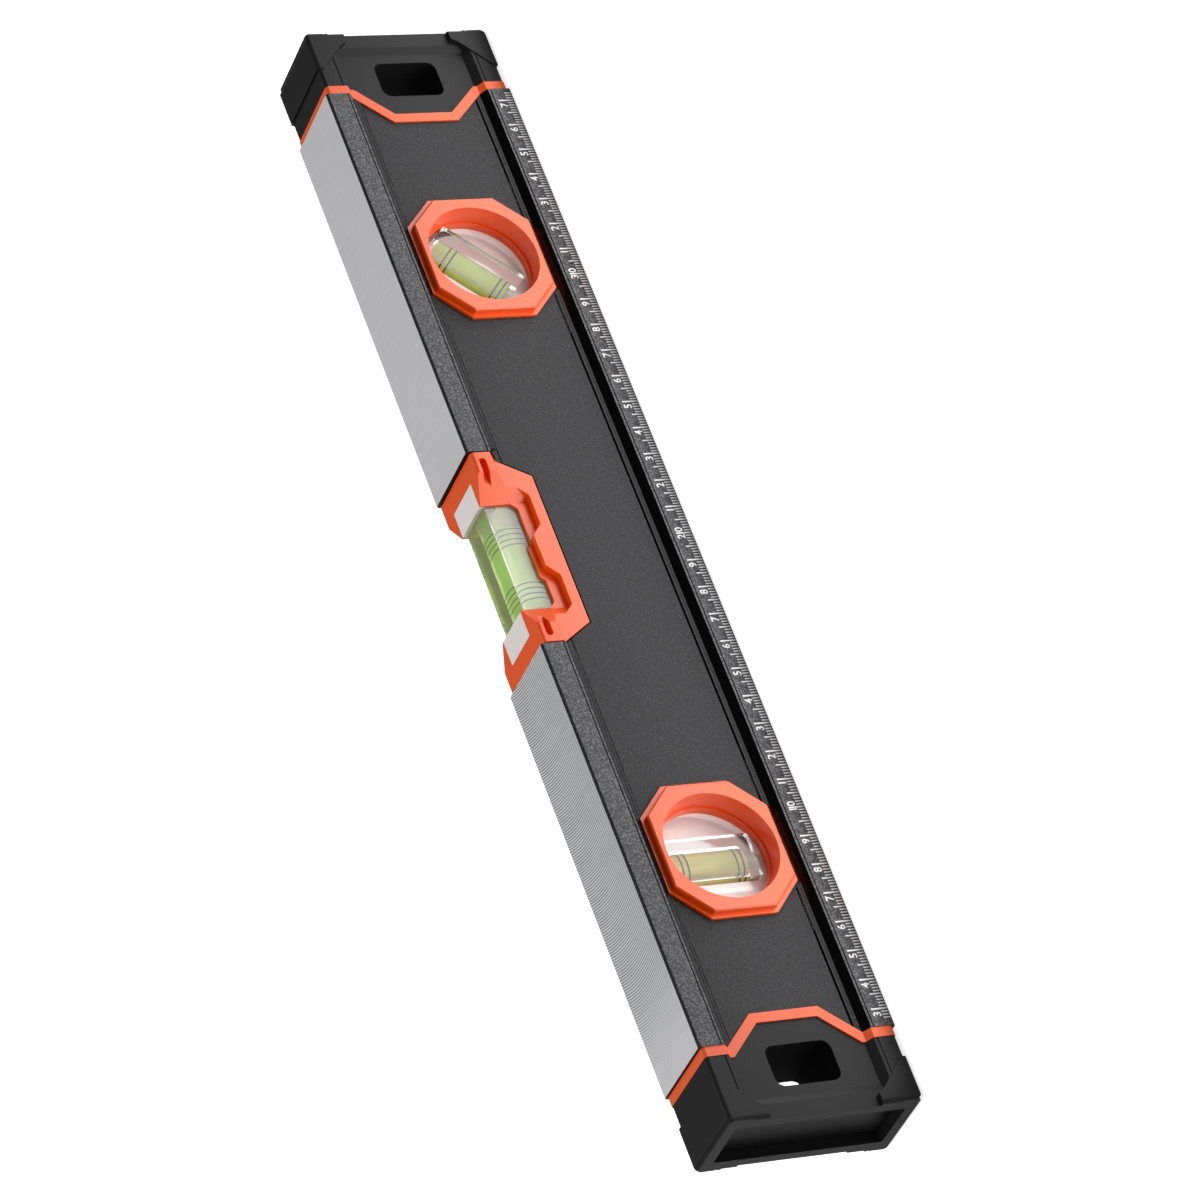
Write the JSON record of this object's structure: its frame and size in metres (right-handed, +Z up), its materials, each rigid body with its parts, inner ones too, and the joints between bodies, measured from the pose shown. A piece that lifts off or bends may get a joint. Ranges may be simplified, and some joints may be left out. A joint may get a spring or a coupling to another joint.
{
  "type": "magnetic spirit level",
  "caption": "Aluminium box-section level with top, plumb and 45 degree vials, magnets in a milled base, a printed ruler edge and end caps with hang slots.",
  "frame": {"origin": "middle of the milled base face, half way along and across the beam", "axes": "+X along the beam towards the 45 degree vial, +Y from the ruler side to the back, +Z up from the milled base to the milled top"},
  "size_m": [0.4, 0.0282, 0.0642],
  "materials": {
    "coated_aluminium": "fine textured black powder coat on extruded aluminium, milled bare on top and base",
    "black_plastic": "satin moulded",
    "orange_rubber": "satin",
    "orange_plastic": "semi-gloss moulded",
    "clamp_metal": "satin",
    "clear_acrylic": "clear polished",
    "vial_fluid": "clear yellow-green liquid",
    "bubble": "air",
    "ring_print": "printed line",
    "vial_plug": "translucent",
    "magnet": "nickel plated"
  },
  "bodies": {
    "root": {"beam": "coated_aluminium", "end_cap_left": "black_plastic", "end_cap_right": "black_plastic", "cap_gasket_left": "orange_rubber", "cap_gasket_right": "orange_rubber", "plumb_bezel_front": "orange_plastic", "plumb_bezel_back": "orange_plastic", "plumb_vial_body": "clear_acrylic", "plumb_vial_fluid": "vial_fluid", "plumb_vial_bubble": "bubble", "plumb_vial_rings": "ring_print", "plumb_vial_plug": "vial_plug", "miter_bezel_front": "orange_plastic", "miter_bezel_back": "orange_plastic", "miter_vial_body": "clear_acrylic", "miter_vial_fluid": "vial_fluid", "miter_vial_bubble": "bubble", "miter_vial_rings": "ring_print", "miter_vial_plug": "vial_plug", "top_vial_frame": "orange_plastic", "top_vial_body": "clear_acrylic", "top_vial_fluid": "vial_fluid", "top_vial_bubble": "bubble", "top_vial_rings": "ring_print", "top_vial_plug": "vial_plug", "vial_clamp_left": "clamp_metal", "vial_clamp_right": "clamp_metal", "base_magnet_1": "magnet", "base_magnet_2": "magnet", "base_magnet_3": "magnet", "base_magnet_4": "magnet"}
  },
  "joints": []
}
